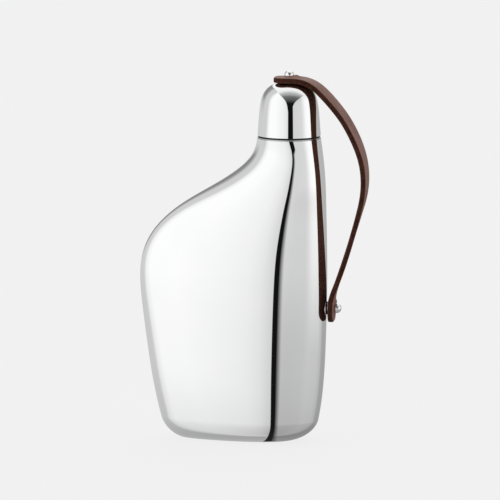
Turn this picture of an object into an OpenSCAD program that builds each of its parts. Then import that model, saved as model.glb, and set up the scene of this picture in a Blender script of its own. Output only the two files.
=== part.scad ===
// Pocket flask: two pressed steel half shells, a threaded neck, a domed screw cap
// and a leather carrying strap buttoned on two ball studs.
// Millimetres. +Z up, +X towards the strap, origin in the middle of the flat base.

/* [Body] */
// Wall thickness of the pressed shells
wall = 0.8; // [0.6:0.1:1]
// Greatest depth of the body, front to back
body_depth = 31.2; // [28:0.2:35]
// Height of the rounded edge around the base
base_round = 8.5; // [6:0.5:11]
// How far the base is narrower than the wall at its left end
base_inset_left = 8; // [6:0.5:12]
// How far the base is narrower than the wall at its right end
base_inset_right = 11.5; // [9:0.5:14]
// How far the base is narrower than the wall at its front and back
base_inset_depth = 8; // [5:0.5:9]

/* [Neck and thread] */
// Distance of the neck axis from the middle of the base
neck_x = 16.9; // [16.5:0.1:17.5]
// Outer radius of the neck at the seam
neck_r = 12.3; // [12.1:0.1:12.6]
// Radius of the mouth
mouth_r = 7.5; // [6.5:0.1:7.7]
// Height of the threaded spigot over the shells' rim
spigot_h = 9.6; // [9:0.1:10]
// Pitch of the cap's thread
pitch = 3; // [2.8:0.1:3.2]

/* [Cap] */
// Height of the stud's seat over the cap's rim
cap_h = 19.25; // [18.5:0.25:19.5]

/* [Strap and studs] */
// Width of the leather strap
strap_w = 11.5; // [9:0.5:13]
// Thickness of the leather
strap_t = 2; // [1.6:0.1:2.1]
// Diameter of the ball of a stud
ball_d = 3.8; // [3.4:0.1:4]
// Height of the side stud over the base
side_stud_z = 52.7; // [50:0.5:55]

/* [Hidden] */

// Colours
steel = "#c8cacc";
dark_rubber = "#202020";
liner_white = "#e6e6e0";
leather = "#4a2a22";

// Resolution of the lofted shells and of the round pieces
half_sides = 24;
cap_sides = 40;
round_fn = 64;
base_rings = 6;
wall_rings = 28;
steps_per_row = 2;

// Heights of the neck
rim_z = 119;
flange_t = 0.5;
gasket_t = 0.6;
gasket_z = rim_z + flange_t;
running_gap = 0.05;
cap_z = gasket_z + gasket_t + running_gap;
cap_top = cap_z + cap_h;

// Outline of the wall seen from the front, as [height, x], before the base is rounded
left_edge = [
    [0, -31.2], [12, -34.5], [24, -37], [38, -39.1], [52, -40.9], [66, -41.8],
    [74, -40.6], [81, -37.3], [88, -31.2], [95, -21.7], [101, -11.3], [106, -3.7],
    [110, 0.9], [114, 3.5], [rim_z, neck_x - neck_r]
];
right_edge = [
    [0, 26.7], [12, 29.2], [24, 30.6], [40, 31.4], [58, 31.8], [75, 31.8],
    [92, 31.4], [106, 30.8], [114, 29.9], [rim_z, neck_x + neck_r]
];
// How much deeper the body is towards the neck side than towards the shoulder, as [height, share]
skew = [
    [0, 0.32], [20, 0.27], [36, 0.28], [50, 0.31], [64, 0.35], [76, 0.39], [84, 0.42],
    [91, 0.41], [98, 0.34], [106, 0.2], [114, 0.11], [rim_z, 0]
];
// Growth of an egg's greatest depth with its skew, which the depth is divided by
egg_fullness = 0.46;
// Half depth of the body, as [height, y]
half_depth = [
    [0, body_depth / 2 - 2.2], [14, body_depth / 2 - 0.8], [35, body_depth / 2],
    [60, body_depth / 2], [80, body_depth / 2 - 0.8], [98, 13.4], [110, 12.5],
    [rim_z, neck_r]
];

// Cap from its rim upwards, as [height over the rim, radius], and the crown it ends at
crown_h = cap_h + 0.95;
cap_rows = [
    [0, 12.25], [4, 11.95], [8, 11.65], [10.4, 11.4], [12.4, 11.1], [13.9, 10.8],
    [15.1, 10.45], [16.2, 9.95], [17.1, 9.35], [18, 8.6], [18.8, 7.7], [19.4, 6.7],
    [19.85, 5.6], [20.1, 4.5], [crown_h, 3.4]
];
// Recess in the crown for the washer and the collar of the stud
recess_r = 3.1;
recess_pad = 0.6;

// Thread on the spigot and in the liner
spigot_r = 8.75;
spigot_crest_r = 9.6;
liner_bore_r = 9.85;
liner_crest_r = 9;
rib_base = 1.25;
rib_crest = 0.7;
rib_turns = 1.75;
rib_sides = 28;
rib_z = gasket_z + 2.4;
rib_lead = 7;
rib_sink = 0.35;

// Liner and seal
spigot_top = rim_z + spigot_h;
seal_t = 1;
seal_z = spigot_top + running_gap;
liner_z = cap_z + 0.4;
liner_top = seal_z + seal_t + 1.6;
liner_low_r = 11.2;
liner_high_r = 10.25;
bore_chamfer = 0.4;
locating_r = 11.3;
locating_h = 1.5;
gasket_outer_r = 11.9;
gasket_inner_r = 10.2;

// Studs
washer_t = 0.5;
washer_r = 2.5;
collar_t = 0.3;
collar_r = 2.3;
stud_neck_r = 1.1;
shank_r = 1.25;
shank_gap = 0.05;
shank_len = 5.2;
ball_lift = 3.2;
seat_h = washer_t + collar_t;
boss_r = 3;
boss_len = 6.5;
side_x = 31.65;
nut_flats = 5;
nut_t = 2;
lock_washer_t = 0.5;
lock_washer_r = 2.1;
nut_seat_z = cap_top - wall;

// Middle line of the strap in the plane Y = 0, as [x, z], from the cap to the side
cap_strap_gap = 0.4;
side_strap_gap = 0.25;
strap_top_z = cap_top + seat_h + cap_strap_gap + strap_t / 2;
strap_side_x = side_x + seat_h + side_strap_gap + strap_t / 2;
strap_line = [
    [11.6, strap_top_z + 0.1], [neck_x, strap_top_z], [22, 141.45], [27, 139.4], [31.5, 135.3],
    [35.7, 130.5], [39.2, 125.7], [43, 118.5], [45.6, 111.2], [46.55, 104],
    [46.05, 96.8], [44.25, 89.6], [42.2, 82.5], [40.05, 75.2], [37.55, 67.5], [34.8, 59.8],
    [strap_side_x + 0.05, 56.2], [strap_side_x, side_stud_z], [strap_side_x, side_stud_z - 5.2]
];
strap_split = 12;
split_gap = 0.04;
strap_steps = 6;
slit_r = 1.5;

// Value of a smooth curve through [height, value] points at height z
function slope_at(list, i) =
    let (a = max(i - 1, 0), b = min(i + 1, len(list) - 1))
    (list[b][1] - list[a][1]) / (list[b][0] - list[a][0]);
function span_of(list, z, i = 0) =
    (i >= len(list) - 2 || z < list[i + 1][0]) ? i : span_of(list, z, i + 1);
function curve_at(list, z) =
    let (
        i = span_of(list, z),
        h = list[i + 1][0] - list[i][0],
        t = (z - list[i][0]) / h
    )
    list[i][1] * (2 * pow(t, 3) - 3 * pow(t, 2) + 1)
    + slope_at(list, i) * h * (pow(t, 3) - 2 * pow(t, 2) + t)
    + list[i + 1][1] * (3 * pow(t, 2) - 2 * pow(t, 3))
    + slope_at(list, i + 1) * h * (pow(t, 3) - pow(t, 2));

// Point at parameter u of a smooth curve through a list of points of any dimension
function point_at(list, u) =
    let (
        i = min(floor(u), len(list) - 2),
        t = u - i,
        p1 = list[i],
        p2 = list[i + 1],
        p0 = i > 0 ? list[i - 1] : 2 * p1 - p2,
        p3 = i < len(list) - 2 ? list[i + 2] : 2 * p2 - p1
    )
    0.5 * (2 * p1 + (p2 - p0) * t + (2 * p0 - 5 * p1 + 4 * p2 - p3) * t * t
    + (3 * p1 - p0 - 3 * p2 + p3) * t * t * t);

// How much of the base inset applies at height z, for a rounding of height r
function rounding(z, r) = z >= r ? 0 : 1 - sqrt(1 - pow((r - z) / r, 2));

// Steepness of the left shoulder, so that its wall keeps its thickness
function left_steepness(z) =
    sqrt(1 + pow((curve_at(left_edge, z + 0.5) - curve_at(left_edge, z - 0.5)), 2));

// Front half of the body's section at height z, moved inwards by inset, left to right.
// It is an egg: an ellipse whose depth grows towards the neck side by the skew.
function body_ring(z, inset) =
    let (
        r = rounding(z - inset, base_round - inset),
        zw = min(max(z, 0.5), rim_z - 0.5),
        left = curve_at(left_edge, z) + inset * left_steepness(zw) + base_inset_left * r,
        right = curve_at(right_edge, z) - inset - base_inset_right * r,
        k = curve_at(skew, z),
        fullness = 1 + egg_fullness * k * k,
        depth = (curve_at(half_depth, z) - inset - base_inset_depth * r) / fullness
    )
    [for (j = [0:half_sides])
        let (a = 180 - 180 * j / half_sides)
        [(left + right) / 2 + (right - left) / 2 * cos(a),
            -depth * sin(a) * (1 + k * cos(a)), z]];

// Heights of the rings: close together round the base, even above it
function ring_heights(low) = concat(
    [for (i = [0:base_rings - 1]) base_round - (base_round - low) * cos(90 * i / base_rings)],
    [for (i = [0:wall_rings]) base_round + (rim_z - base_round) * i / wall_rings]
);

// Faces between two neighbouring rings of n + 1 points whose first indices are a and b
function band(a, b, n) = [for (j = [0:n - 1]) [a + j, b + j, b + j + 1, a + j + 1]];
function flipped(faces) = [for (f = faces) [for (i = [len(f) - 1:-1:0]) f[i]]];

// One closed half shell with an even wall, front half
module half_shell() {
    n = half_sides;
    outer = [for (z = ring_heights(0)) each body_ring(z, 0)];
    inner = [for (z = ring_heights(wall)) each body_ring(z, wall)];
    rings = len(ring_heights(0));
    step = n + 1;
    off = rings * step;
    out_mid = 2 * off;
    in_mid = out_mid + 1;
    last = (rings - 1) * step;
    faces = concat(
        [for (i = [0:rings - 2]) each band(i * step, (i + 1) * step, n)],
        [for (i = [0:rings - 2]) each flipped(band(off + i * step, off + (i + 1) * step, n))],
        [for (j = [0:n - 1]) [out_mid, j, j + 1]],
        [for (j = [0:n - 1]) [in_mid, off + j + 1, off + j]],
        band(last, off + last, n),
        [for (i = [0:rings - 2])
            [i * step, off + i * step, off + (i + 1) * step, (i + 1) * step]],
        [for (i = [0:rings - 2])
            [(i + 1) * step + n, off + (i + 1) * step + n, off + i * step + n, i * step + n]],
        [[out_mid, in_mid, off, 0], [n, off + n, in_mid, out_mid]]
    );
    polyhedron(concat(outer, inner, [[0, 0, 0], [0, 0, wall]]), faces, convexity = 8);
}

// A shell with the hole for the side boss
module drilled_shell() {
    difference() {
        half_shell();
        translate([side_x - boss_len, 0, side_stud_z]) rotate([0, 90, 0])
            cylinder(r = boss_r, h = 2 * boss_len, $fn = round_fn);
    }
}

// Helical rib of the thread, from root radius r0 to crest radius r1, about the neck axis
module thread_rib(r0, r1, z0) {
    steps = rib_turns * rib_sides;
    rings = [for (i = [0:steps])
        let (
            a = 360 * i / rib_sides,
            z = z0 + pitch * i / rib_sides,
            grow = min(1, (i + 1) / rib_lead, (steps - i + 1) / rib_lead),
            r = r0 + (r1 - r0) * grow,
            w = [rib_base / 2, rib_crest / 2]
        )
        each [
            [r0 * cos(a), r0 * sin(a), z - w[0]], [r * cos(a), r * sin(a), z - w[1]],
            [r * cos(a), r * sin(a), z + w[1]], [r0 * cos(a), r0 * sin(a), z + w[0]]
        ]];
    sides = [for (i = [0:steps - 1]) for (k = [0:3])
        [4 * i + k, 4 * (i + 1) + k, 4 * (i + 1) + (k + 1) % 4, 4 * i + (k + 1) % 4]];
    ends = [[0, 1, 2, 3], [4 * steps + 3, 4 * steps + 2, 4 * steps + 1, 4 * steps]];
    faces = concat(sides, ends);
    polyhedron(rings, r1 > r0 ? flipped(faces) : faces, convexity = 8);
}

// Ball stud along +Z: its seat is at z = 0, with the washer below its collar
module ball_stud() {
    translate([0, 0, washer_t - shank_len])
        cylinder(r = shank_r, h = shank_len, $fn = round_fn);
    translate([0, 0, washer_t])
        cylinder(r = collar_r, h = collar_t, $fn = round_fn);
    translate([0, 0, seat_h])
        cylinder(r = stud_neck_r, h = ball_lift, $fn = round_fn);
    translate([0, 0, seat_h + ball_lift])
        sphere(d = ball_d, $fn = round_fn);
}

module washer(r, bore, t) {
    difference() {
        cylinder(r = r, h = t, $fn = round_fn);
        translate([0, 0, -t]) cylinder(r = bore, h = 3 * t, $fn = round_fn);
    }
}

// Places a stud's pieces on the side of the body, pointing along +X
module on_side() {
    translate([side_x, 0, side_stud_z]) rotate([0, 90, 0]) children();
}

// Places a piece on the neck axis at height z
module on_axis(z) {
    translate([neck_x, 0, z]) children();
}

// Stretch of the strap between two parameters of its middle line
module strap_stretch(u0, u1) {
    count = ceil((u1 - u0) * strap_steps);
    us = [for (i = [0:count]) u0 + (u1 - u0) * i / count];
    nudge = 0.02;
    normals = [for (u = us)
        let (d = point_at(strap_line, min(u + nudge, len(strap_line) - 1))
                - point_at(strap_line, max(u - nudge, 0)))
        [-d[1], d[0]] / norm(d)];
    half = strap_t / 2;
    outer = [for (i = [0:count]) point_at(strap_line, us[i]) + half * normals[i]];
    inner = [for (i = [count:-1:0]) point_at(strap_line, us[i]) - half * normals[i]];
    rotate([90, 0, 0]) linear_extrude(strap_w, center = true) polygon(concat(outer, inner));
}

// Room for a stud in the strap: a round hole and the hollow that the ball presses in it
module stud_room() {
    cylinder(r = slit_r, h = seat_h + ball_lift + ball_d, $fn = round_fn);
    translate([0, 0, seat_h + ball_lift]) sphere(d = ball_d + 0.5, $fn = round_fn);
}

module front_shell() {
    color(steel) drilled_shell();
}

module rear_shell() {
    color(steel) mirror([0, 1, 0]) drilled_shell();
}

module neck_insert() {
    low = -locating_h;
    profile = [
        [mouth_r, low], [locating_r, low], [locating_r, 0], [neck_r, 0], [neck_r, flange_t],
        [spigot_r, flange_t], [spigot_r, spigot_h - bore_chamfer],
        [spigot_r - bore_chamfer, spigot_h], [mouth_r, spigot_h]
    ];
    color(steel) union() {
        on_axis(rim_z) rotate_extrude($fn = round_fn) polygon(profile);
        on_axis(rib_z) thread_rib(spigot_r - rib_sink, spigot_crest_r, 0);
    }
}

module neck_gasket() {
    color(dark_rubber) on_axis(gasket_z) washer(gasket_outer_r, gasket_inner_r, gasket_t);
}

module side_boss() {
    color(steel) difference() {
        on_side() translate([0, 0, -boss_len])
            cylinder(r = boss_r, h = boss_len, $fn = round_fn);
        on_side() translate([0, 0, washer_t - shank_len - 2 * shank_gap])
            cylinder(r = shank_r + shank_gap, h = 2 * boss_len, $fn = round_fn);
    }
}

module side_stud_washer() {
    color(dark_rubber) on_side() washer(washer_r, shank_r + shank_gap, washer_t);
}

module side_stud() {
    color(steel) on_side() ball_stud();
}

module cap_shell() {
    count = (len(cap_rows) - 1) * steps_per_row;
    rows = [for (i = [0:count]) point_at(cap_rows, i / steps_per_row)];
    squash = (crown_h - wall) / crown_h;
    outer = [for (r = rows) [r[1], r[0]]];
    inner = [for (i = [count:-1:0]) [rows[i][1] - wall, rows[i][0] * squash]];
    color(steel) on_axis(cap_z) difference() {
        union() {
            rotate_extrude($fn = cap_sides) polygon(concat(outer, inner));
            translate([0, 0, cap_h - wall])
                cylinder(r = recess_r + wall, h = wall + recess_pad, $fn = round_fn);
        }
        translate([0, 0, cap_h]) cylinder(r = recess_r, h = cap_h, $fn = round_fn);
        translate([0, 0, cap_h / 2])
            cylinder(r = shank_r + shank_gap, h = cap_h, $fn = round_fn);
    }
}

module cap_liner() {
    h = liner_top - liner_z;
    bore_h = seal_z + seal_t - liner_z;
    profile = [
        [liner_bore_r + bore_chamfer, 0], [liner_low_r, 0], [liner_high_r, h], [0, h],
        [0, bore_h], [liner_bore_r, bore_h], [liner_bore_r, bore_chamfer]
    ];
    color(liner_white) union() {
        on_axis(liner_z) rotate_extrude($fn = round_fn) polygon(profile);
        on_axis(rib_z) thread_rib(liner_bore_r + rib_sink, liner_crest_r, pitch / 2);
    }
}

module cap_seal() {
    color(dark_rubber) on_axis(seal_z)
        cylinder(r = liner_bore_r - running_gap, h = seal_t, $fn = round_fn);
}

module cap_stud_washer() {
    color(dark_rubber) on_axis(cap_top) washer(washer_r, shank_r + shank_gap, washer_t);
}

module cap_stud() {
    color(steel) on_axis(cap_top) ball_stud();
}

module cap_stud_lock_washer() {
    color(steel) on_axis(nut_seat_z - lock_washer_t)
        washer(lock_washer_r, shank_r + shank_gap, lock_washer_t);
}

module cap_stud_nut() {
    color(steel) on_axis(nut_seat_z - lock_washer_t - nut_t) difference() {
        cylinder(d = nut_flats / cos(30), h = nut_t, $fn = 6);
        translate([0, 0, -nut_t]) cylinder(r = shank_r + shank_gap, h = 3 * nut_t, $fn = round_fn);
    }
}

module strap_upper() {
    color(leather) difference() {
        strap_stretch(0, strap_split - split_gap);
        on_axis(cap_top) stud_room();
    }
}

module strap_lower() {
    color(leather) difference() {
        strap_stretch(strap_split, len(strap_line) - 1);
        on_side() stud_room();
    }
}

front_shell();
rear_shell();
neck_insert();
neck_gasket();
side_boss();
side_stud_washer();
side_stud();
cap_shell();
cap_liner();
cap_seal();
cap_stud_washer();
cap_stud();
cap_stud_lock_washer();
cap_stud_nut();
strap_upper();
strap_lower();
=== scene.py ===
"""Looks of the pocket flask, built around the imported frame. The sizes below are in
millimetres and meshes are scaled to metres; +Z is up, the front faces -Y and the strap is at +X."""

import math

import bpy
import numpy as np
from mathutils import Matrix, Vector


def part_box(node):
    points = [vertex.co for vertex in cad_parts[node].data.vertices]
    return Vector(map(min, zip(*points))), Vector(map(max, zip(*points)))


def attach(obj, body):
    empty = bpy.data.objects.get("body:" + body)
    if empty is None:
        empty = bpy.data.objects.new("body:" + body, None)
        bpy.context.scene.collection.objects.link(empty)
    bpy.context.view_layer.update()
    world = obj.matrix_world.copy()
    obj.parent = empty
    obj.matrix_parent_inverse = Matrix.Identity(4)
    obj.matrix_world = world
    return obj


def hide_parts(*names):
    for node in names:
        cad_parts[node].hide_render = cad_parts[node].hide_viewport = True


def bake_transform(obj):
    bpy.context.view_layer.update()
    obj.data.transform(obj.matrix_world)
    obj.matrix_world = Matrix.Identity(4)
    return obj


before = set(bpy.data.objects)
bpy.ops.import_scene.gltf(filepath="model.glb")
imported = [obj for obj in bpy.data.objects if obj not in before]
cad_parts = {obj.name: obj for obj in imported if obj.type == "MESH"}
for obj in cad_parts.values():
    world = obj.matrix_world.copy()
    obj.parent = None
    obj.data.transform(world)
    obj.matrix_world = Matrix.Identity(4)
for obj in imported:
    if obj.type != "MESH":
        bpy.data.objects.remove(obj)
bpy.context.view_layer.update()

MM = 0.001


# ---------------------------------------------------------------- sizes

def low_mm(node):
    """Lowest corner of a node's box, in millimetres."""
    return np.array(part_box(node)[0]) / MM


def high_mm(node):
    """Highest corner of a node's box, in millimetres."""
    return np.array(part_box(node)[1]) / MM


NECK_X = (low_mm("neck_gasket")[0] + high_mm("neck_gasket")[0]) / 2
RIM_Z = high_mm("front_shell")[2]
NECK_R = 12.3
WALL = 0.8
BODY_DEPTH = 31.2
BASE_ROUND = 8.5
BASE_INSET_LEFT = 8.0
BASE_INSET_RIGHT = 11.5
BASE_INSET_DEPTH = 8.0
EGG_FULLNESS = 0.46
CURVE_SAMPLES = 477
CURVE_BLUR = 9

GASKET_Z = low_mm("neck_gasket")[2]
MOUTH_R = 7.5
SPIGOT_R = 8.75
SPIGOT_TOP = high_mm("neck_insert")[2]
LOCATING_R = 11.3
LOCATING_Z = low_mm("neck_insert")[2]
THREAD_CREST_R = 9.6
THREAD_PITCH = 3.0
THREAD_TURNS = 1.75
THREAD_Z = GASKET_Z + 2.4
THREAD_BASE = 1.25
THREAD_CREST = 0.7
THREAD_LEAD = 0.2

CAP_Z = low_mm("cap_shell")[2]
CAP_TOP = low_mm("cap_stud_washer")[2]
CAP_H = CAP_TOP - CAP_Z
CROWN_H = high_mm("cap_shell")[2] - CAP_Z
RECESS_R = 3.1
BORE_R = 1.3

SIDE_X = low_mm("side_stud_washer")[0]
SIDE_Z = (low_mm("side_stud")[2] + high_mm("side_stud")[2]) / 2
WASHER_T = 0.5
COLLAR_T = 0.3
COLLAR_R = 2.3
STUD_NECK_R = 1.1
SHANK_R = 1.25
SHANK_LEN = 5.2
BALL_R = 1.9
BALL_Z = 4.0

STRAP_W = 11.5
STRAP_T = 2.0
CAP_STRAP_GAP = 0.4
SIDE_STRAP_GAP = 0.25
STRAP_TOP_Z = CAP_TOP + WASHER_T + COLLAR_T + CAP_STRAP_GAP + STRAP_T / 2
STRAP_SIDE_X = SIDE_X + WASHER_T + COLLAR_T + SIDE_STRAP_GAP + STRAP_T / 2

# Outline of the body from the front, as [height, x]
LEFT_EDGE = [
    [0, -31.2], [12, -34.5], [24, -37], [38, -39.1], [52, -40.9], [66, -41.8],
    [74, -40.6], [81, -37.3], [88, -31.2], [95, -21.7], [101, -11.3], [106, -3.7],
    [110, 0.9], [114, 3.5], [RIM_Z, NECK_X - NECK_R],
]
RIGHT_EDGE = [
    [0, 26.7], [12, 29.2], [24, 30.6], [40, 31.4], [58, 31.8], [75, 31.8],
    [92, 31.4], [106, 30.8], [114, 29.9], [RIM_Z, NECK_X + NECK_R],
]
# How much deeper the body is towards the neck side, as [height, share]
SKEW = [
    [0, 0.32], [20, 0.27], [36, 0.28], [50, 0.31], [64, 0.35], [76, 0.39], [84, 0.42],
    [91, 0.41], [98, 0.34], [106, 0.2], [114, 0.11], [RIM_Z, 0],
]
# Half depth of the body, as [height, y]
HALF_DEPTH = [
    [0, BODY_DEPTH / 2 - 2.2], [14, BODY_DEPTH / 2 - 0.8], [35, BODY_DEPTH / 2],
    [60, BODY_DEPTH / 2], [80, BODY_DEPTH / 2 - 0.8], [98, 13.4], [110, 12.5], [RIM_Z, NECK_R],
]
# Cap upwards from its rim, as [height, radius]
CAP_ROWS = [
    [0, 12.25], [4, 11.95], [8, 11.65], [10.4, 11.4], [12.4, 11.1], [13.9, 10.8],
    [15.1, 10.45], [16.2, 9.95], [17.1, 9.35], [18, 8.6], [18.8, 7.7], [19.4, 6.7],
    [19.85, 5.6], [20.1, 4.5], [CROWN_H, 3.4],
]
# Middle line of the strap in the plane Y = 0, as [x, z], from the cap to the side
STRAP_LINE = [
    [11.6, STRAP_TOP_Z + 0.1], [NECK_X, STRAP_TOP_Z], [22, 141.45], [27, 139.4],
    [31.5, 135.3], [35.7, 130.5], [39.2, 125.7], [43, 118.5], [45.6, 111.2],
    [46.55, 104], [46.05, 96.8], [44.25, 89.6], [42.2, 82.5], [40.05, 75.2], [37.55, 67.5],
    [34.8, 59.8], [STRAP_SIDE_X + 0.05, 56.2], [STRAP_SIDE_X, SIDE_Z],
    [STRAP_SIDE_X, SIDE_Z - 5.2],
]
# How far the strap is twisted about its own middle line, as [share of its length, degrees]
STRAP_TWIST = [
    [0, 0], [0.09, 0], [0.16, 3.2], [0.26, 3.6], [0.36, 3.2], [0.46, 1.2], [0.55, -0.5],
    [0.64, -3.5], [0.72, -4.5], [0.82, -4.6], [0.9, -2.5], [0.95, 0], [1, 0],
]


# ---------------------------------------------------------------- mesh helpers

def spline(rows):
    """Natural cubic spline through rows of [position, value, ...]: a function of position."""
    rows = np.array(rows, float)
    x, y = rows[:, 0], rows[:, 1:]
    h = np.diff(x)
    matrix = np.eye(len(x))
    right = np.zeros_like(y)
    for i in range(1, len(x) - 1):
        matrix[i, i - 1:i + 2] = h[i - 1], 2 * (h[i - 1] + h[i]), h[i]
        right[i] = 6 * ((y[i + 1] - y[i]) / h[i] - (y[i] - y[i - 1]) / h[i - 1])
    bend = np.linalg.solve(matrix, right)

    def at(t):
        t = np.atleast_1d(np.array(t, float))
        i = np.clip(np.searchsorted(x, t, "right") - 1, 0, len(x) - 2)
        b = ((t - x[i]) / h[i])[:, None]
        a = 1 - b
        curve = ((a ** 3 - a) * bend[i] + (b ** 3 - b) * bend[i + 1]) * (h[i] ** 2)[:, None] / 6
        return a * y[i] + b * y[i + 1] + curve

    return at


def smoothed(values, width):
    """Values along a line after a Gaussian blur of that many samples, with both ends kept."""
    reach = int(3 * width)
    kernel = np.exp(-0.5 * (np.arange(-reach, reach + 1) / width) ** 2)
    kernel /= kernel.sum()
    head = 2 * values[0] - values[reach:0:-1]
    tail = 2 * values[-1] - values[-2:-reach - 2:-1]
    padded = np.concatenate([head, values, tail])
    return np.stack([np.convolve(column, kernel, "valid") for column in padded.T], axis=1)


def mesh_object(name, points, faces, sharp_degrees=None):
    """A smooth shaded mesh object from points in millimetres."""
    mesh = bpy.data.meshes.new(name)
    mesh.from_pydata((np.array(points) * MM).tolist(), [], [list(f) for f in faces])
    mesh.polygons.foreach_set("use_smooth", [True] * len(mesh.polygons))
    if sharp_degrees:
        mesh.set_sharp_from_angle(angle=math.radians(sharp_degrees))
    mesh.validate()
    mesh.update()
    thing = bpy.data.objects.new(name, mesh)
    bpy.context.scene.collection.objects.link(thing)
    return thing


def bands(rings, count, start=0, flip=False):
    """Quads between neighbouring closed rings of count points each."""
    faces = []
    for i in range(rings - 1):
        for j in range(count):
            a = start + i * count + j
            b = start + i * count + (j + 1) % count
            quad = (a, b, b + count, a + count)
            faces.append(quad[::-1] if flip else quad)
    return faces


def grid_normals(grid):
    """Unit normals of a grid of closed rings, pointing out of a surface that goes up."""
    around = np.roll(grid, -1, axis=1) - np.roll(grid, 1, axis=1)
    along = np.gradient(grid, axis=0)
    normal = np.cross(around, along)
    return normal / np.maximum(np.linalg.norm(normal, axis=2, keepdims=True), 1e-9)


def lathe(name, profile, origin, side=False, closed=False, count=96, sharp_degrees=40):
    """A profile of [radius, height] turned about Z, or about X for a side piece."""
    angles = np.linspace(0, 2 * math.pi, count, endpoint=False)
    profile = np.array(profile, float)
    radius, height = profile[:, :1], profile[:, 1:2]
    x, y = radius * np.cos(angles), radius * np.sin(angles)
    z = height + np.zeros_like(x)
    grid = np.stack([z, x, y] if side else [x, y, z], axis=2) + np.array(origin)
    faces = bands(len(profile), count)
    if closed:
        last = (len(profile) - 1) * count
        for j in range(count):
            k = (j + 1) % count
            faces.append((last + j, last + k, k, j))
    return mesh_object(name, grid.reshape(-1, 3), faces, sharp_degrees)


def arc(centre, radius, start, end, steps):
    """Points of a circular arc in the profile plane, from one angle to another in degrees."""
    return [
        [centre[0] + radius * math.cos(math.radians(a)), centre[1] + radius * math.sin(math.radians(a))]
        for a in np.linspace(start, end, steps)
    ]


# ---------------------------------------------------------------- materials

def new_material(name, **sockets):
    """A material with a Principled shader whose sockets have the given values."""
    made = bpy.data.materials.new(name)
    made.use_nodes = True
    shader = made.node_tree.nodes["Principled BSDF"]
    for key, value in sockets.items():
        shader.inputs[key.replace("_", " ")].default_value = value
    return made, made.node_tree, shader


def add(tree, kind, inputs=None, **settings):
    """A node with its settings, and its inputs given as values or as sockets to link."""
    node = tree.nodes.new("ShaderNode" + kind)
    for key, value in settings.items():
        setattr(node, key, value)
    for key, value in (inputs or {}).items():
        if isinstance(value, bpy.types.NodeSocket):
            tree.links.new(value, node.inputs[key])
        else:
            node.inputs[key].default_value = value
    return node


def noise(tree, scale, detail=2.0, roughness=0.5, stretch=None):
    """Noise in the object's own space, with features about 1/scale metres across."""
    where = add(tree, "TexCoord").outputs["Object"]
    if stretch:
        where = add(tree, "Mapping", {"Vector": where, "Scale": stretch}).outputs[0]
    made = add(tree, "TexNoise", {"Vector": where, "Scale": scale, "Detail": detail,
                                  "Roughness": roughness})
    return made.outputs["Fac"]


def spread(tree, value, low, high, from_low=0.3, from_high=0.7):
    """A value spread from one range to another; each end is a number or a socket."""
    made = add(tree, "MapRange", {"Value": value, "From Min": from_low, "From Max": from_high,
                                  "To Min": low, "To Max": high})
    return made.outputs[0]


def mix_colours(tree, factor, first, second):
    """Two colours mixed by a factor."""
    made = add(tree, "Mix", data_type="RGBA")
    for key, value in ((0, factor), (6, first), (7, second)):
        if isinstance(value, bpy.types.NodeSocket):
            tree.links.new(value, made.inputs[key])
        else:
            made.inputs[key].default_value = value
    return made.outputs[2]


def bump(tree, shader, height, strength, distance):
    """Bump on a shader, from a height and its size in metres."""
    made = add(tree, "Bump", {"Height": height, "Strength": strength, "Distance": distance})
    tree.links.new(made.outputs[0], shader.inputs["Normal"])


def polished_steel_material():
    """Mirror polish: almost no roughness, with a trace of handling marks."""
    made, tree, shader = new_material("mirror_steel", Metallic=1.0)
    marks = noise(tree, 900, detail=6, roughness=0.7)
    haze = noise(tree, 60, detail=3)
    tree.links.new(spread(tree, marks, 0.012, 0.03), shader.inputs["Roughness"])
    colour = mix_colours(tree, spread(tree, haze, 0, 1), (0.945, 0.95, 0.955, 1), (0.965, 0.965, 0.965, 1))
    tree.links.new(colour, shader.inputs["Base Color"])
    return made


def turned_steel_material():
    """Fine turning marks round the neck axis."""
    made, tree, shader = new_material("fine_turned_steel", Metallic=1.0)
    rings = noise(tree, 500, detail=4, roughness=0.8, stretch=(0.15, 0.15, 6))
    tree.links.new(spread(tree, rings, 0.14, 0.32), shader.inputs["Roughness"])
    tree.links.new(
        mix_colours(tree, spread(tree, rings, 0, 1), (0.5, 0.505, 0.51, 1), (0.66, 0.66, 0.66, 1)),
        shader.inputs["Base Color"])
    bump(tree, shader, rings, 0.25, 0.00005)
    return made


def rubber_material():
    """Dark moulded rubber with a fine matte grain."""
    made, tree, shader = new_material("seal_rubber")
    grain = noise(tree, 3000, detail=3)
    tree.links.new(spread(tree, grain, 0.6, 0.8), shader.inputs["Roughness"])
    tree.links.new(mix_colours(tree, grain, (0.006, 0.006, 0.006, 1), (0.018, 0.018, 0.018, 1)),
                   shader.inputs["Base Color"])
    bump(tree, shader, grain, 0.3, 0.00003)
    return made


def plastic_material():
    """White moulded liner with faint flow marks."""
    made, tree, shader = new_material("liner_plastic")
    flow = noise(tree, 250, detail=3, stretch=(1, 1, 0.3))
    tree.links.new(spread(tree, flow, 0.35, 0.5), shader.inputs["Roughness"])
    tree.links.new(mix_colours(tree, flow, (0.72, 0.72, 0.69, 1), (0.8, 0.8, 0.77, 1)),
                   shader.inputs["Base Color"])
    bump(tree, shader, flow, 0.1, 0.00004)
    return made


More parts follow.
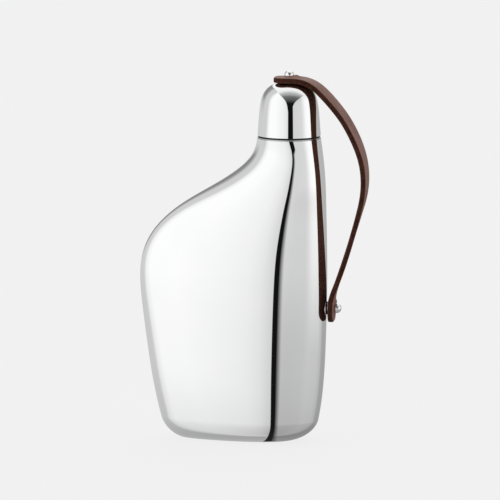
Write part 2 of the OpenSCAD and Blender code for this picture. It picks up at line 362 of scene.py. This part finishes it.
def leather_material():
    """Dyed leather: a smooth grain side whose lighter brown is partly painted sheen, and darker fibrous cut
    edges and flesh side.
    """
    made, tree, shader = new_material("strap_leather", IOR=1.5)
    where = add(tree, "TexCoord").outputs["Object"]
    raw = add(tree, "Attribute", attribute_name="raw_cut").outputs["Fac"]
    pores = add(tree, "TexVoronoi", {"Vector": where, "Scale": 2600.0}, feature="DISTANCE_TO_EDGE")
    creases = noise(tree, 700, detail=5, roughness=0.6)
    cloud = noise(tree, 90, detail=3)
    fibres = noise(tree, 2200, detail=4, roughness=0.7, stretch=(0.35, 1, 0.35))
    # The grain side's lighter brown is partly painted sheen over the leather's own brown; the darker cut
    # edges and flesh side keep the leather's own raw colour
    grain_colour_with_painted_sheen = mix_colours(tree, spread(tree, cloud, 0, 1), (0.205, 0.084, 0.058, 1),
                               (0.315, 0.15, 0.112, 1))
    cut_colour = mix_colours(tree, spread(tree, fibres, 0, 1), (0.026, 0.006, 0.003, 1),
                             (0.092, 0.031, 0.017, 1))
    tree.links.new(mix_colours(tree, raw, grain_colour_with_painted_sheen, cut_colour), shader.inputs["Base Color"])
    grain_rough = spread(tree, creases, 0.42, 0.56)
    rough = add(tree, "Mix", data_type="FLOAT")
    tree.links.new(raw, rough.inputs[0])
    tree.links.new(grain_rough, rough.inputs[2])
    rough.inputs[3].default_value = 0.72
    tree.links.new(rough.outputs[0], shader.inputs["Roughness"])
    tree.links.new(spread(tree, raw, 0.32, 0.12, 0, 1), shader.inputs["Specular IOR Level"])
    grain_height = add(tree, "Math", {0: spread(tree, pores.outputs["Distance"], 0, 1, 0, 0.12), 1: creases},
                       operation="ADD").outputs[0]
    height = add(tree, "Mix", data_type="FLOAT")
    tree.links.new(raw, height.inputs[0])
    tree.links.new(grain_height, height.inputs[2])
    tree.links.new(fibres, height.inputs[3])
    bump(tree, shader, height.outputs[0], 0.35, 0.00008)
    return made


MIRROR = polished_steel_material()
TURNED = turned_steel_material()
RUBBER = rubber_material()
PLASTIC = plastic_material()
LEATHER = leather_material()


def finish_piece(piece, material, slot, body, *nodes):
    """Gives a piece its material and its body, and hides the CAD nodes that it stands for; the slot is not
    used.
    """
    piece.data.materials.append(material)
    if body:
        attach(piece, body)
    if nodes:
        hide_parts(*nodes)
    return piece


# ---------------------------------------------------------------- polished body

def body_curves():
    """Left edge, right edge, skew and half depth of the body as one smooth function of height."""
    heights = np.linspace(0, RIM_Z, CURVE_SAMPLES)
    columns = [spline(rows)(heights)[:, 0] for rows in (LEFT_EDGE, RIGHT_EDGE, SKEW, HALF_DEPTH)]
    values = smoothed(np.stack(columns, axis=1), CURVE_BLUR)
    return spline(np.column_stack([heights, values]))


def body_grid(count=288, base_rings=36, wall_rings=300):
    """Rings of the body's outer surface, from its flat base to its rim."""
    turn = np.linspace(0, math.pi / 2, base_rings, endpoint=False)
    low = BASE_ROUND - BASE_ROUND * np.cos(turn)
    inset = np.concatenate([1 - np.sin(turn), np.zeros(wall_rings)])
    heights = np.concatenate([low, np.linspace(BASE_ROUND, RIM_Z, wall_rings)])
    left, right, skew, depth = body_curves()(heights).T[:, :, None]
    inset = inset[:, None]
    left = left + BASE_INSET_LEFT * inset
    right = right - BASE_INSET_RIGHT * inset
    depth = (depth - BASE_INSET_DEPTH * inset) / (1 + EGG_FULLNESS * skew ** 2)
    angle = np.linspace(0, 2 * math.pi, count, endpoint=False)
    x = (left + right) / 2 + (right - left) / 2 * np.cos(angle)
    y = depth * np.sin(angle) * (1 + skew * np.cos(angle))
    z = heights[:, None] + np.zeros_like(x)
    return np.stack([x, y, z], axis=2)


def polished_body():
    """The two pressed shells after welding and polishing: one skin with an even wall."""
    outer = body_grid()
    inner = outer - WALL * grid_normals(outer)
    inner[:, :, 2] = np.maximum(inner[:, :, 2], WALL)
    inner[-1, :, 2] = RIM_Z
    rings, count = outer.shape[:2]
    off = rings * count
    middle = 2 * off
    points = np.concatenate([outer.reshape(-1, 3), inner.reshape(-1, 3), [[0, 0, 0], [0, 0, WALL]]])
    faces = bands(rings, count) + bands(rings, count, off, flip=True)
    for j in range(count):
        k = (j + 1) % count
        faces.append((middle, k, j))
        faces.append((middle + 1, off + j, off + k))
        last = off - count
        faces.append((last + j, last + k, off + last + k, off + last + j))
    piece = mesh_object("polished_body", points, faces, sharp_degrees=60)
    return finish_piece(piece, MIRROR, "polished_steel", "flask", "front_shell", "rear_shell")


# ---------------------------------------------------------------- neck

def thread_height(angle, height):
    """Height of the helical rib over the spigot at an angle and a height over its start."""
    best = np.zeros_like(height)
    for turn in range(math.ceil(THREAD_TURNS) + 1):
        along = angle / (2 * math.pi) + turn
        away = np.abs(height - THREAD_PITCH * along)
        flank = (THREAD_BASE / 2 - away) / ((THREAD_BASE - THREAD_CREST) / 2)
        lead = np.minimum(along, THREAD_TURNS - along) / THREAD_LEAD
        rib = np.clip(flank, 0, 1) * np.clip(lead, 0, 1)
        best = np.maximum(best, rib * rib * (3 - 2 * rib))
    return best * (THREAD_CREST_R - SPIGOT_R)


def threaded_neck(count=192):
    """The turned insert: flange under the seam, spigot with its thread, and the mouth."""
    edge = 0.12
    spigot = [[SPIGOT_R, z] for z in np.linspace(GASKET_Z + 0.05, SPIGOT_TOP - 0.4, 92)]
    profile = (
        [[MOUTH_R, LOCATING_Z], [LOCATING_R, LOCATING_Z], [LOCATING_R, RIM_Z], [NECK_R - edge, RIM_Z]]
        + arc((NECK_R - edge, RIM_Z + edge), edge, -90, 0, 5)
        + arc((NECK_R - edge, GASKET_Z - edge), edge, 0, 90, 5)
        + [[SPIGOT_R + 0.05, GASKET_Z]]
        + spigot
        + [[SPIGOT_R - 0.4, SPIGOT_TOP]]
        + arc((MOUTH_R + 0.25, SPIGOT_TOP - 0.25), 0.25, 90, 180, 5)
        + [[MOUTH_R, LOCATING_Z]]
    )
    profile = np.array(profile, float)
    angle = np.linspace(0, 2 * math.pi, count, endpoint=False)
    radius = profile[:, :1] + np.zeros(count)
    height = profile[:, 1:2] + np.zeros(count)
    on_spigot = (np.abs(profile[:, 0] - SPIGOT_R) < 1e-6)[:, None]
    radius = radius + on_spigot * thread_height(angle + np.zeros_like(height), height - THREAD_Z)
    grid = np.stack([NECK_X + radius * np.cos(angle), radius * np.sin(angle), height], axis=2)
    piece = mesh_object("threaded_neck", grid.reshape(-1, 3), bands(len(profile), count), sharp_degrees=50)
    return finish_piece(piece, TURNED, "turned_steel", "flask", "neck_insert")


# ---------------------------------------------------------------- cap

def even_curve(rows, count, width):
    """Evenly spaced points of a smooth line through [height, radius] rows, as [radius, height]."""
    knots = np.array(rows, float)
    dense = spline(np.column_stack([np.arange(len(knots)), knots]))(
        np.linspace(0, len(knots) - 1, 60 * (len(knots) - 1) + 1))
    dense = smoothed(dense, width)
    length = np.concatenate([[0], np.cumsum(np.linalg.norm(np.diff(dense, axis=0), axis=1))])
    even = np.linspace(0, length[-1], count)
    return np.stack([np.interp(even, length, dense[:, k]) for k in (1, 0)], axis=1)


def polished_cap():
    """The cap's shell: a dome with a small recess in its crown for the stud's washer."""
    outer = even_curve(CAP_ROWS, count=220, width=30)
    along = np.gradient(outer, axis=0)
    along /= np.linalg.norm(along, axis=1, keepdims=True)
    inner = outer + WALL * np.stack([-along[:, 1], along[:, 0]], axis=1)
    inner[0] = [outer[0][0] - WALL, 0]
    pad_r = RECESS_R + WALL
    inner = inner[inner[:, 0] > pad_r + 0.1]
    edge = 0.15
    profile = (
        outer.tolist()
        + [[RECESS_R + 0.1, CROWN_H - 0.05], [RECESS_R, CROWN_H - 0.2], [RECESS_R, CAP_H + edge]]
        + arc((RECESS_R - edge, CAP_H + edge), edge, 0, -90, 5)[1:]
        + [[BORE_R, CAP_H], [BORE_R, CAP_H - WALL], [pad_r, CAP_H - WALL], [pad_r, inner[-1][1]]]
        + inner[::-1].tolist()
    )
    piece = lathe("polished_cap", profile, (NECK_X, 0, CAP_Z), closed=True, count=288)
    return finish_piece(piece, MIRROR, "polished_steel", "cap", "cap_shell")


# ---------------------------------------------------------------- studs

def ball_stud(name, origin, side, body, node):
    """A turned ball stud with a filleted neck; its seat is at height 0."""
    edge = 0.08
    collar_low, collar_high = WASHER_T, WASHER_T + COLLAR_T
    meet = math.degrees(math.acos(STUD_NECK_R / BALL_R))
    fillet = 0.35
    profile = (
        [[0, WASHER_T - SHANK_LEN], [SHANK_R - 0.2, WASHER_T - SHANK_LEN],
         [SHANK_R, WASHER_T - SHANK_LEN + 0.2], [SHANK_R, collar_low]]
        + arc((COLLAR_R - edge, collar_low + edge), edge, -90, 0, 4)
        + arc((COLLAR_R - edge, collar_high - edge), edge, 0, 90, 4)
        + arc((STUD_NECK_R + fillet, collar_high + fillet), fillet, 270, 180, 6)
        + arc((0, BALL_Z), BALL_R, -meet, 90, 48)
    )
    profile[-1][0] = 0
    piece = lathe(name, profile, origin, side)
    return finish_piece(piece, MIRROR, "stud_steel", body, node)


# ---------------------------------------------------------------- strap

TIP_EXTRA = 0.5
CORNER_R = 4.0
EDGE_R = 0.38
HOLE_R = 1.42
SLIT_LEN = 5.6
SLIT_HALF = 0.11
SLIT_EDGE_R = 0.2
JOIN_LENGTH = 11
EDGE_STEPS = [0, 0.03, 0.08, 0.15, 0.25, 0.38, 0.55, 0.8]
EDGE_MARGIN = 1.3
STRAP_STEP = 0.2
STRAP_BLUR = 9
FLESH_WEAR = 0.85
# Lip of the slit: its height, how far it lies from the stud, and its spread along and across
LIP_H = 1.0
LIP_AT = 2.7
LIP_ALONG = 1.5
LIP_ACROSS = 2.3
# Lift of the leather over the stud's collar, and its spread
COLLAR_LIFT = 0.35
COLLAR_SPREAD = 2.6


def catmull_rom(points, per_span):
    """Dense points of a smooth curve through a list of points."""
    points = np.array(points, float)
    points = np.concatenate([[2 * points[0] - points[1]], points, [2 * points[-1] - points[-2]]])
    t = np.linspace(0, 1, per_span, endpoint=False)[:, None]
    made = []
    for i in range(1, len(points) - 2):
        p0, p1, p2, p3 = points[i - 1:i + 3]
        made.append(0.5 * (2 * p1 + (p2 - p0) * t + (2 * p0 - 5 * p1 + 4 * p2 - p3) * t ** 2
                           + (3 * p1 - p0 - 3 * p2 + p3) * t ** 3))
    made.append(points[-2:-1])
    return np.concatenate(made)


def strap_curve():
    """The strap's middle line by arc length: its points, its outward normals and its length."""
    line = catmull_rom(STRAP_LINE, 60)
    first = line[0] - line[1]
    line = np.concatenate([[line[0] + first / np.linalg.norm(first) * TIP_EXTRA], line])
    step = np.linalg.norm(np.diff(line, axis=0), axis=1)
    length = np.concatenate([[0], np.cumsum(step)])
    count = int(length[-1] / STRAP_STEP)
    even = np.linspace(0, length[-1], count)
    points = np.stack([np.interp(even, length, line[:, k]) for k in (0, 1)], axis=1)
    points = smoothed(points, STRAP_BLUR)
    along = np.gradient(points, axis=0)
    along /= np.linalg.norm(along, axis=1, keepdims=True)
    normals = np.stack([-along[:, 1], along[:, 0]], axis=1)
    return spline(np.column_stack([even, points, normals])), length[-1]


STRAP_AT, STRAP_LEN = strap_curve()


def nearest_length(x, z):
    """Arc length of the strap's point closest to a place."""
    lengths = np.linspace(0, STRAP_LEN, 4000)
    places = STRAP_AT(lengths)[:, :2]
    return lengths[np.argmin(np.linalg.norm(places - [x, z], axis=1))]


CAP_HOLE = nearest_length(NECK_X, STRAP_TOP_Z)
SIDE_HOLE = nearest_length(STRAP_SIDE_X, SIDE_Z)


def outline_distance(s, u):
    """Distance inside the strap's outline, a rectangle with rounded corners."""
    qs = np.abs(s - STRAP_LEN / 2) - STRAP_LEN / 2 + CORNER_R
    qu = np.abs(u) - STRAP_W / 2 + CORNER_R
    outside = np.hypot(np.maximum(qs, 0), np.maximum(qu, 0))
    return CORNER_R - outside - np.minimum(np.maximum(qs, qu), 0)


def slit_distance(s, u, hole, way):
    """Distance from a keyhole slit: a round hole with a cut that leaves it along the strap."""
    along = (s - hole) * way
    cut = np.hypot(along - np.clip(along, 0, SLIT_LEN), u) - SLIT_HALF
    return np.minimum(np.hypot(along, u) - HOLE_R, cut)


def lip_height(s, u, hole, way):
    """How far the leather stands up round a stud, most of all where the slit begins."""
    along = (s - hole) * way
    ridge = LIP_H * np.exp(-((along - LIP_AT) / LIP_ALONG) ** 2 - (u / LIP_ACROSS) ** 2)
    collar = COLLAR_LIFT * np.exp(-(along / COLLAR_SPREAD) ** 2 - (u / COLLAR_SPREAD) ** 2)
    return np.maximum(ridge, collar)


def keyhole_point(hole, way, fraction):
    """Point of a keyhole slit's edge; the fraction runs from the slit's end round the hole and back."""
    side = 1 if fraction <= 0.5 else -1
    start = math.asin(SLIT_HALF / HOLE_R)
    straight = SLIT_LEN - HOLE_R * math.cos(start)
    total = SLIT_HALF + straight + HOLE_R * (math.pi - start)
    t = 2 * min(fraction, 1 - fraction) * total
    if t < SLIT_HALF:
        along, away = SLIT_LEN, t
    elif t < SLIT_HALF + straight:
        along, away = SLIT_LEN - (t - SLIT_HALF), SLIT_HALF
    else:
        angle = start + (t - SLIT_HALF - straight) / HOLE_R
        along, away = HOLE_R * math.cos(angle), HOLE_R * math.sin(angle)
    return hole + way * along, side * away


def strap_end_outline(tip, join, across):
    """Outline of one end of the strap: first the join with the middle, then round the tip."""
    way = 1 if join > tip else -1
    half = STRAP_W / 2
    side = [(s, half) for s in np.linspace(join, tip + way * CORNER_R, 36)[1:]]
    corner = [
        (tip + way * CORNER_R * (1 - math.sin(a)), half - CORNER_R * (1 - math.cos(a)))
        for a in np.radians(np.linspace(0, 90, 14))[1:]
    ]
    flat = [(tip, u) for u in np.linspace(half - CORNER_R, 0, 6)[1:]]
    upper = side + corner + flat
    lower = [(s, -u) for s, u in upper[-2::-1]]
    return np.array([(join, u) for u in across] + upper + lower)[:-1]


def strap_plan():
    """The strap laid flat, as (length, across) points and the faces between them."""
    half = STRAP_W / 2
    near = np.array(EDGE_STEPS)
    inside = np.linspace(-half + EDGE_MARGIN, half - EDGE_MARGIN, 17)
    across = np.concatenate([-half + near, inside, half - near[::-1]])
    joins = (CAP_HOLE + JOIN_LENGTH, SIDE_HOLE - JOIN_LENGTH)
    points, faces = [], []

    def put(rows):
        points.extend((float(s), float(u)) for s, u in rows)
        return list(range(len(points) - len(rows), len(points)))

    lines = [put([(s, u) for u in across]) for s in np.linspace(*joins, 300)]
    for a, b in zip(lines[:-1], lines[1:]):
        for j in range(len(across) - 1):
            faces.append((a[j], b[j], b[j + 1], a[j + 1]))

    ends = ((0.0, joins[0], CAP_HOLE, 1, lines[0]), (STRAP_LEN, joins[1], SIDE_HOLE, -1, lines[-1]))
    for tip, join, hole, way, shared in ends:
        loop = strap_end_outline(tip, join, across)
        step = np.linalg.norm(np.roll(loop, -1, axis=0) - loop, axis=1)
        place = np.concatenate([[0], np.cumsum(step)[:-1]]) / step.sum()
        middle = place[len(across) // 2]
        inner = np.array([keyhole_point(hole, way, f) for f in np.mod(place - middle, 1)])
        spoke = inner - loop
        size = np.linalg.norm(spoke, axis=1, keepdims=True)
        unit = spoke / size
        edge = np.minimum(near[1:], size * 0.4)
        rings = [shared + put(loop[len(across):])]
        rings += [put(loop + unit * edge[:, k:k + 1]) for k in range(edge.shape[1])]
        low, high = edge[:, -1:], size - edge[:, -1:]
        rings += [put(loop + unit * (low + (high - low) * t)) for t in np.linspace(0, 1, 16)[1:-1]]
        rings += [put(inner - unit * edge[:, k:k + 1]) for k in range(edge.shape[1])[::-1]]
        rings.append(put(inner))
        for a, b in zip(rings[:-1], rings[1:]):
            for j in range(len(loop)):
                k = (j + 1) % len(loop)
                faces.append((a[j], a[k], b[k], b[j]))
    return np.array(points), faces


def rounded_half(distance, radius):
    """Half thickness at a distance inside an edge that is rounded to a radius."""
    inside = np.clip(radius - distance, 0, radius)
    return STRAP_T / 2 - radius + np.sqrt(radius ** 2 - inside ** 2)


def leather_strap():
    """The leather strap: one closed mesh with slits, raised lips and rounded cut edges."""
    plan, flat_faces = strap_plan()
    s, u = plan.T
    slit = np.minimum(slit_distance(s, u, CAP_HOLE, 1), slit_distance(s, u, SIDE_HOLE, -1))
    border = outline_distance(s, u)
    half = np.minimum(rounded_half(border, EDGE_R), rounded_half(slit, SLIT_EDGE_R))
    lip = lip_height(s, u, CAP_HOLE, 1) + lip_height(s, u, SIDE_HOLE, -1)
    line = STRAP_AT(s)
    middle = np.stack([line[:, 0], 0 * u, line[:, 1]], axis=1)
    normal = np.stack([line[:, 2], np.zeros_like(u), line[:, 3]], axis=1)
    normal /= np.linalg.norm(normal, axis=1, keepdims=True)
    twist = np.radians(spline(STRAP_TWIST)(s / STRAP_LEN))
    across = np.array([0, 1, 0]) * np.cos(twist) + normal * np.sin(twist)
    middle += across * u[:, None]
    normal = normal * np.cos(twist) - np.array([0, 1, 0]) * np.sin(twist)
    levels = np.linspace(1, -1, 7)
    layers = [middle + normal * (half * v + lip * (0.8 + 0.2 * v))[:, None] for v in levels]
    edge_wear = np.clip(1 - np.minimum(border / EDGE_R, slit / SLIT_EDGE_R), 0, 1)

    count = len(plan)
    corners = plan[np.array(flat_faces)]
    diagonal_a, diagonal_b = corners[:, 2] - corners[:, 0], corners[:, 3] - corners[:, 1]
    turn = diagonal_a[:, 0] * diagonal_b[:, 1] - diagonal_a[:, 1] * diagonal_b[:, 0]
    flat_faces = [f if t > 0 else f[::-1] for f, t in zip(flat_faces, turn)]
    seen = {}
    for face in flat_faces:
        for a, b in zip(face, face[1:] + face[:1]):
            seen[(a, b)] = True
    walls = [(a, b) for a, b in seen if (b, a) not in seen]
    rim = {v: k for k, v in enumerate(sorted({a for a, _ in walls}))}
    rim_points = np.array(sorted(rim))

    points = [layers[0], layers[-1]] + [layer[rim_points] for layer in layers[1:-1]]
    raw = [edge_wear, FLESH_WEAR + 0 * edge_wear] + [1 + 0 * edge_wear[rim_points]] * (len(levels) - 2)
    faces = [f[::-1] for f in flat_faces] + [tuple(count + v for v in f) for f in flat_faces]

    def wall_index(vertex, level):
        if level == 0:
            return vertex
        if level == len(levels) - 1:
            return count + vertex
        return 2 * count + (level - 1) * len(rim) + rim[vertex]

    for a, b in walls:
        for level in range(len(levels) - 1):
            faces.append((wall_index(a, level), wall_index(b, level),
                          wall_index(b, level + 1), wall_index(a, level + 1)))
    piece = mesh_object("leather_strap", np.concatenate(points), faces)
    wear = piece.data.attributes.new("raw_cut", "FLOAT", "POINT")
    wear.data.foreach_set("value", np.concatenate(raw).astype(np.float32))
    finish_piece(piece, LEATHER, "strap_leather", None, "strap_upper", "strap_lower")
    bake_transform(piece)
    return piece


# ---------------------------------------------------------------- stage, camera and light

CAMERA_AZIMUTH = 8.6
CAMERA_ELEVATION = 8.5
CAMERA_DISTANCE = 1.6
VIEW_WIDTH = 0.1945
SENSOR = 36.0
TARGET = (0.0016, 0.0, 0.0748)
BACKDROP = 0.887


def camera_direction():
    """Unit vector from the object towards the camera."""
    a, e = math.radians(CAMERA_AZIMUTH), math.radians(CAMERA_ELEVATION)
    return np.array([math.sin(a) * math.cos(e), -math.cos(a) * math.cos(e), math.sin(e)])


def make_camera():
    """A long lens at the photograph's angle."""
    data = bpy.data.cameras.new("camera")
    data.sensor_width = SENSOR
    data.lens = SENSOR * CAMERA_DISTANCE / VIEW_WIDTH
    data.clip_start, data.clip_end = 0.05, 200
    thing = bpy.data.objects.new("camera", data)
    bpy.context.scene.collection.objects.link(thing)
    back = Vector(camera_direction())
    thing.location = Vector(TARGET) + back * CAMERA_DISTANCE
    thing.rotation_mode = "QUATERNION"
    thing.rotation_quaternion = (-back).to_track_quat("-Z", "Y")
    bpy.context.scene.camera = thing


def make_floor():
    """A plain pale floor, lit partly by itself so that it stays even."""
    size = 60
    corners = [(-size, -size, 0), (size, -size, 0), (size, size, 0), (-size, size, 0)]
    floor = mesh_object("floor", np.array(corners) / MM, [(0, 1, 2, 3)])
    made, tree, shader = new_material("pale_floor", Roughness=1.0)
    shader.inputs["Specular IOR Level"].default_value = 0
    shader.inputs["Base Color"].default_value = (FLOOR_ALBEDO,) * 3 + (1,)
    shader.inputs["Emission Color"].default_value = (1, 1, 1, 1)
    shader.inputs["Emission Strength"].default_value = FLOOR_GLOW
    floor.data.materials.append(made)
    floor.visible_glossy = False
    floor.visible_diffuse = False


def ramp(tree, value, stops):
    """A colour ramp of grey levels from (position, level) stops."""
    node = add(tree, "ValToRGB", {"Fac": value})
    elements = node.color_ramp.elements
    while len(elements) > 1:
        elements.remove(elements[-1])
    for k, (position, level) in enumerate(stops):
        element = elements[0] if k == 0 else elements.new(position)
        element.position = position
        element.color = (level, level, level, 1)
    return node.outputs["Color"]


def math_node(tree, operation, *values):
    """A math node's output."""
    return add(tree, "Math", dict(enumerate(values)), operation=operation).outputs[0]


def degrees_to_unit(stops):
    """Ramp stops with positions in degrees from -180 to 180."""
    return [(0.5 + a / 360, level) for a, level in stops]


def heights_to_unit(stops):
    """Ramp stops with positions as heights from -1, straight down, to 1, straight up."""
    return [(0.5 + z / 2, level) for z, level in stops]


def make_light():
    """The studio round the flask: a white sheet at the left, a grey one with a bright strip at
    the right, and a dark gap between them that widens overhead into a grey ceiling. The left
    sheet is shaded behind the flask."""
    world = bpy.data.worlds.new("studio")
    bpy.context.scene.world = world
    world.use_nodes = True
    tree = world.node_tree
    tree.nodes.clear()
    where = add(tree, "TexCoord").outputs["Generated"]
    turned = add(tree, "VectorRotate", {"Vector": where, "Angle": -math.radians(CAMERA_AZIMUTH)},
                 rotation_type="Z_AXIS").outputs[0]
    x, y, z = add(tree, "SeparateXYZ", {0: turned}).outputs
    towards = math_node(tree, "MULTIPLY", y, -1.0)
    around = math_node(tree, "MULTIPLY_ADD", math_node(tree, "ARCTAN2", x, towards), 0.5 / math.pi, 0.5)
    over = math_node(tree, "MULTIPLY_ADD", math_node(tree, "ARCTAN2", z, towards), 0.5 / math.pi, 0.5)
    height = math_node(tree, "MULTIPLY_ADD", z, 0.5, 0.5)

    at_right = math_node(tree, "GREATER_THAN", x, 0.0)
    fade = mix_colours(tree, at_right, ramp(tree, height, heights_to_unit(LEFT_FADE)),
                       ramp(tree, height, heights_to_unit(RIGHT_FADE)))
    sheets = math_node(tree, "MULTIPLY", ramp(tree, around, degrees_to_unit(SHEETS)), fade)
    strip = math_node(tree, "MULTIPLY", ramp(tree, around, degrees_to_unit(BRIGHT_STRIP)),
                      spread(tree, z, 0.0, 1.0, *STRIP_HEIGHTS))
    sheets = math_node(tree, "ADD", sheets, strip)
    behind = math_node(tree, "MULTIPLY", spread(tree, towards, 0.0, BEHIND_SHADE, *BEHIND),
                       spread(tree, z, 0.0, 1.0, *BEHIND_HEIGHTS))
    behind = math_node(tree, "MULTIPLY", behind, math_node(tree, "LESS_THAN", x, 0.0))
    sheets = math_node(tree, "MULTIPLY", sheets, math_node(tree, "SUBTRACT", 1.0, behind))

    gap = ramp(tree, over, degrees_to_unit(GAP))
    left_top = math_node(tree, "MULTIPLY_ADD", x, LEFT_SHEET_TOP, z)
    right_top = math_node(tree, "MULTIPLY_ADD", x, -RIGHT_SHEET_TOP, z)
    in_ceiling = spread(tree, math_node(tree, "MINIMUM", left_top, right_top), 0.0, 1.0, 0.0, CEILING_EDGE)
    colour = mix_colours(tree, in_ceiling, sheets, gap)
    edges = [spread(tree, z, low, high, *GAP_HEIGHTS) for low, high in GAP_EDGES]
    crisp = math_node(tree, "ADD", edges[0], GAP_LEFT_SOFTNESS)
    # The gap follows surfaces that face the same way sideways, so that it runs straight down
    tilt = math.radians(CAMERA_ELEVATION)
    facing = math_node(tree, "MULTIPLY_ADD", z, math.sin(tilt), 1.0)
    facing = math_node(tree, "MULTIPLY_ADD", towards, math.cos(tilt), facing)
    facing = math_node(tree, "SQRT", math_node(tree, "MULTIPLY", facing, 0.5))
    aside = math_node(tree, "DIVIDE", x, math_node(tree, "MAXIMUM", facing, LEAST_FACING))
    in_gap = math_node(tree, "MULTIPLY", spread(tree, aside, 0.0, 1.0, edges[0], crisp),
                       spread(tree, aside, 1.0, 0.0, edges[1], edges[2]))
    in_gap = math_node(tree, "MULTIPLY", in_gap, math_node(tree, "GREATER_THAN", towards, GAP_END))
    colour = mix_colours(tree, in_gap, colour, gap)

    background = add(tree, "Background", {"Color": colour, "Strength": STUDIO_STRENGTH})
    plain = add(tree, "Background", {"Color": (BACKDROP, BACKDROP, BACKDROP, 1)})
    seen = add(tree, "LightPath").outputs["Is Camera Ray"]
    both = add(tree, "MixShader", {0: seen, 1: background.outputs[0], 2: plain.outputs[0]})
    out = add(tree, "OutputWorld")
    tree.links.new(both.outputs[0], out.inputs["Surface"])
    world.cycles.sampling_method = "MANUAL"
    world.cycles.sample_map_resolution = 1024


STUDIO_STRENGTH = 1.04
FLOOR_ALBEDO = 0.12
FLOOR_GLOW = 0.796
# Light from the sheets, by azimuth from the camera in degrees, positive to the right
SHEETS = [
    (-180, 0.6), (-98, 0.62), (-93, 0.66), (-88, 0.85),
    (-76, 0.99), (-55, 0.98), (-40, 0.93), (-22, 0.87), (-12, 0.8), (-4, 0.7), (0, 0.66),
    (20, 0.655), (45, 0.68), (58, 0.72), (90, 0.7), (108, 0.62), (118, 0.46), (150, 0.44),
    (180, 0.5),
]
BRIGHT_STRIP = [
    (-180, 0.0), (48, 0.0), (56, 0.08), (66, 0.24), (76, 0.28), (95, 0.27), (104, 0.1), (112, 0.0),
]
STRIP_HEIGHTS = (-0.22, -0.1)
# How far behind the flask, as the cosine from the camera, the left sheet grows darker
BEHIND = (-0.4, -0.7)
BEHIND_SHADE = 0.6
BEHIND_HEIGHTS = (-0.05, 0.2)
# Share of the sheets' light by height, from -1 straight down to 1 straight up
LEFT_FADE = [(-1, 0.58), (-0.87, 0.65), (-0.77, 0.69), (-0.57, 0.76), (-0.42, 0.83), (-0.31, 0.91),
             (-0.26, 0.94), (-0.16, 0.965), (-0.05, 1), (1, 1)]
RIGHT_FADE = [(-1, 0.5), (-0.87, 0.535), (-0.5, 0.59), (-0.42, 0.67), (-0.31, 0.737), (-0.21, 0.79),
              (-0.156, 0.88), (-0.1, 1), (0.3, 0.98), (0.5, 0.85), (1, 0.7)]
# Light in the gap, by angle from the camera over the top in degrees
GAP = [(-180, 0.02), (0, 0.005), (18, 0.006), (24, 0.05), (32, 0.1), (44, 0.135), (52, 0.2),
       (60, 0.36), (68, 0.42), (76, 0.62), (88, 0.88), (140, 0.95), (180, 0.9)]
LEFT_SHEET_TOP = 1.5
RIGHT_SHEET_TOP = 0.85
CEILING_EDGE = 0.02
# Left edge of the gap and both ends of its soft right edge, each at the two heights
GAP_HEIGHTS = (-0.035, 0.02)
GAP_EDGES = [(-0.014, -0.085), (0.075, 0.235), (0.175, 0.255)]
GAP_LEFT_SOFTNESS = 0.008
GAP_END = -0.8
LEAST_FACING = 0.1

make_camera()
make_floor()
make_light()
bpy.context.scene.view_settings.view_transform = "Standard"

polished_body()
threaded_neck()
polished_cap()
ball_stud("cap_ball_stud", (NECK_X, 0, CAP_TOP), False, "cap", "cap_stud")
ball_stud("side_ball_stud", (SIDE_X, 0, SIDE_Z), True, "flask", "side_stud")
leather_strap()

# The small inner pieces keep their CAD shapes and take a finer material
CARRIED = {
    "neck_gasket": RUBBER, "cap_seal": RUBBER, "cap_liner": PLASTIC, "side_boss": TURNED,
    "side_stud_washer": RUBBER, "cap_stud_washer": RUBBER, "cap_stud_nut": TURNED,
    "cap_stud_lock_washer": TURNED,
}
for node_name, material in CARRIED.items():
    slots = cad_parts[node_name].material_slots
    for slot in slots:
        slot.material = material
